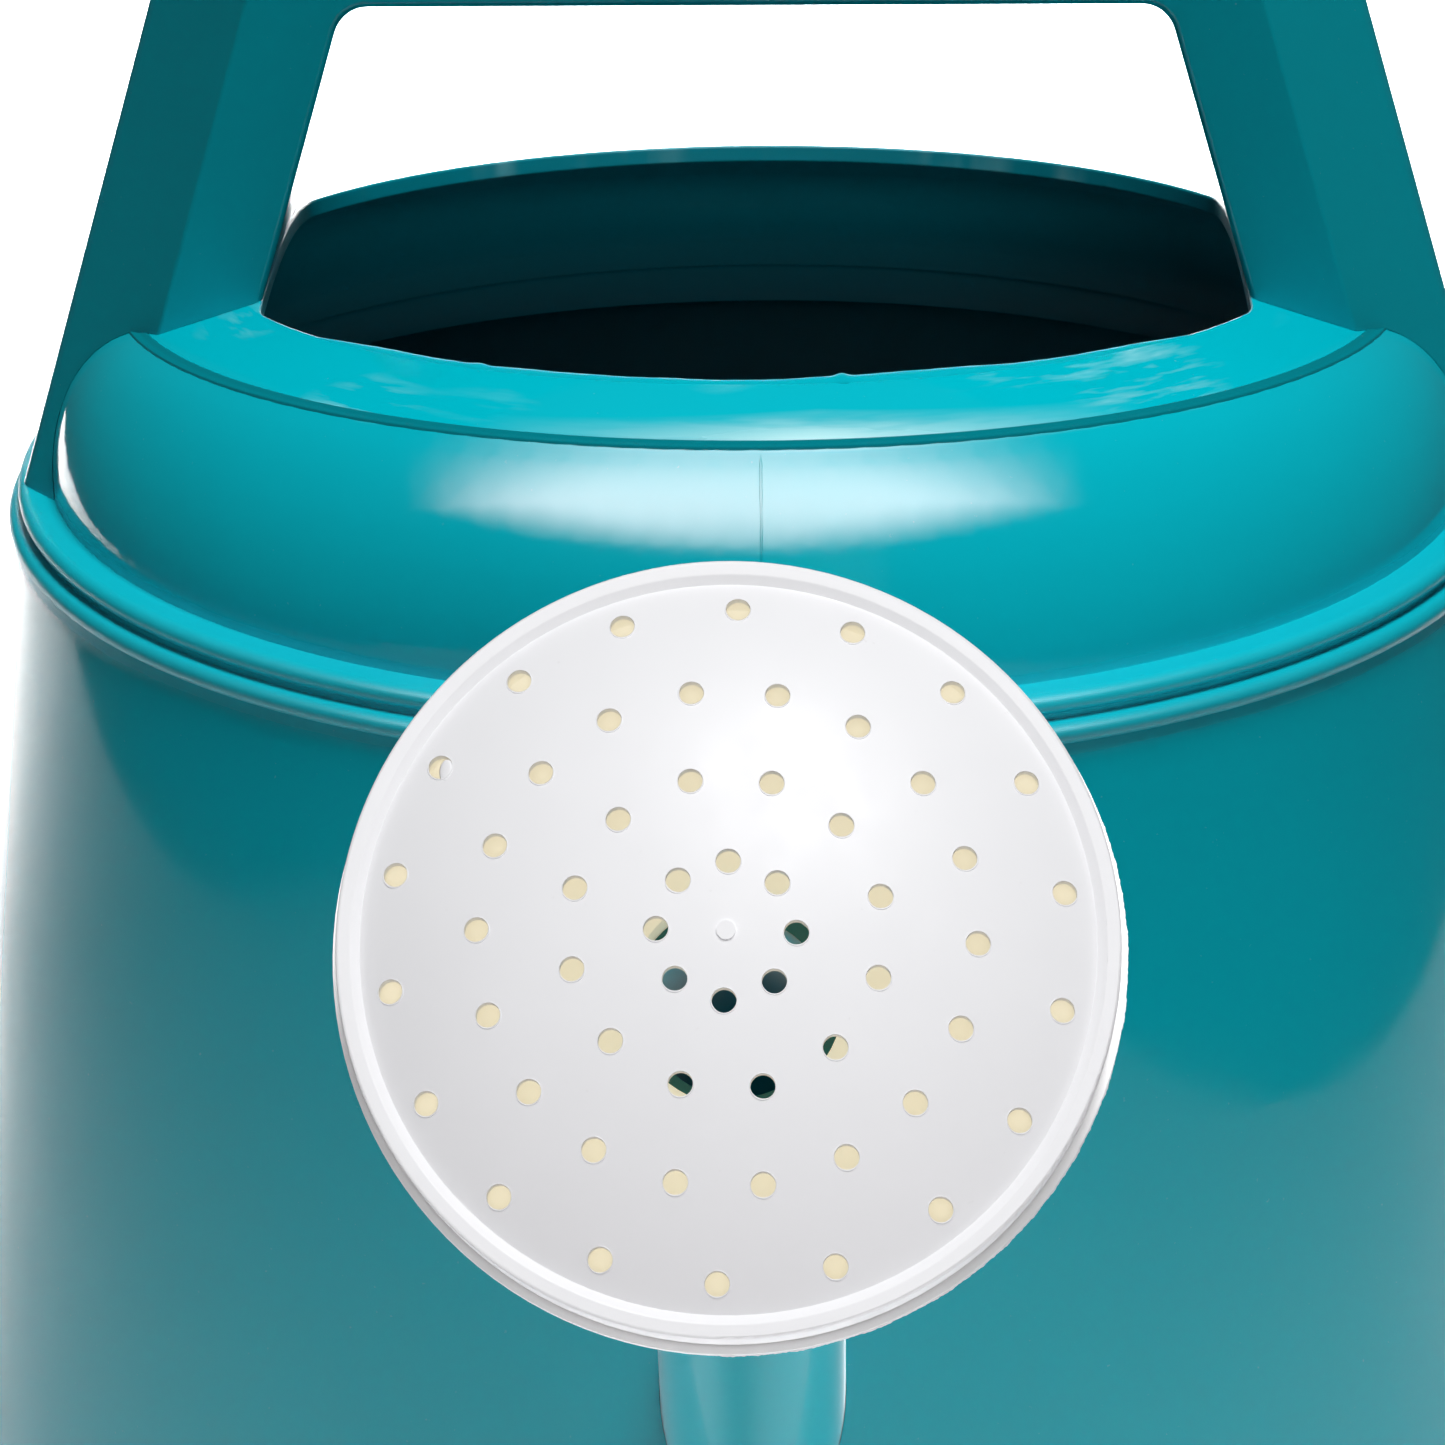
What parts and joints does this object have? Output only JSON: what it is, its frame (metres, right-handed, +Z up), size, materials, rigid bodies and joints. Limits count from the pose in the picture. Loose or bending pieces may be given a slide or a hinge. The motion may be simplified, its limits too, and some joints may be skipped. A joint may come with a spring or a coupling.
{
  "type": "watering can",
  "caption": "Plastic watering can with a tapered tank, a welded shoulder cover, an arch handle over the filling opening, a bent spout and a removable perforated rose.",
  "frame": {"origin": "centre of the foot ring, on the surface that the can stands on", "axes": "+Z up along the tank's axis, -Y towards the spout and the rose, +X to the right seen from the rose"},
  "size_m": [0.2316, 0.3527, 0.2447],
  "materials": {
    "teal_plastic": "glossy moulded polypropylene",
    "cream_plastic": "natural uncoloured polyethylene",
    "white_plastic": "satin white moulded polyethylene"
  },
  "bodies": {
    "can": {"tank": "teal_plastic", "top_cover": "teal_plastic", "handle_shell": "teal_plastic", "handle_strip": "teal_plastic", "spout": "teal_plastic"},
    "rose": {"rose_body": "cream_plastic"},
    "face": {"rose_face": "white_plastic"}
  },
  "joints": [
    {"name": "rose_pull", "type": "slide", "parent": "can", "child": "rose", "axis": [0, -0.8387, 0.5446], "range_m": [0, 0.06]},
    {"name": "face_turn", "type": "hinge", "parent": "rose", "child": "face", "pos_m": [0, -0.1805, 0.15299], "axis": [0, -0.8387, 0.5446], "continuous": true}
  ]
}
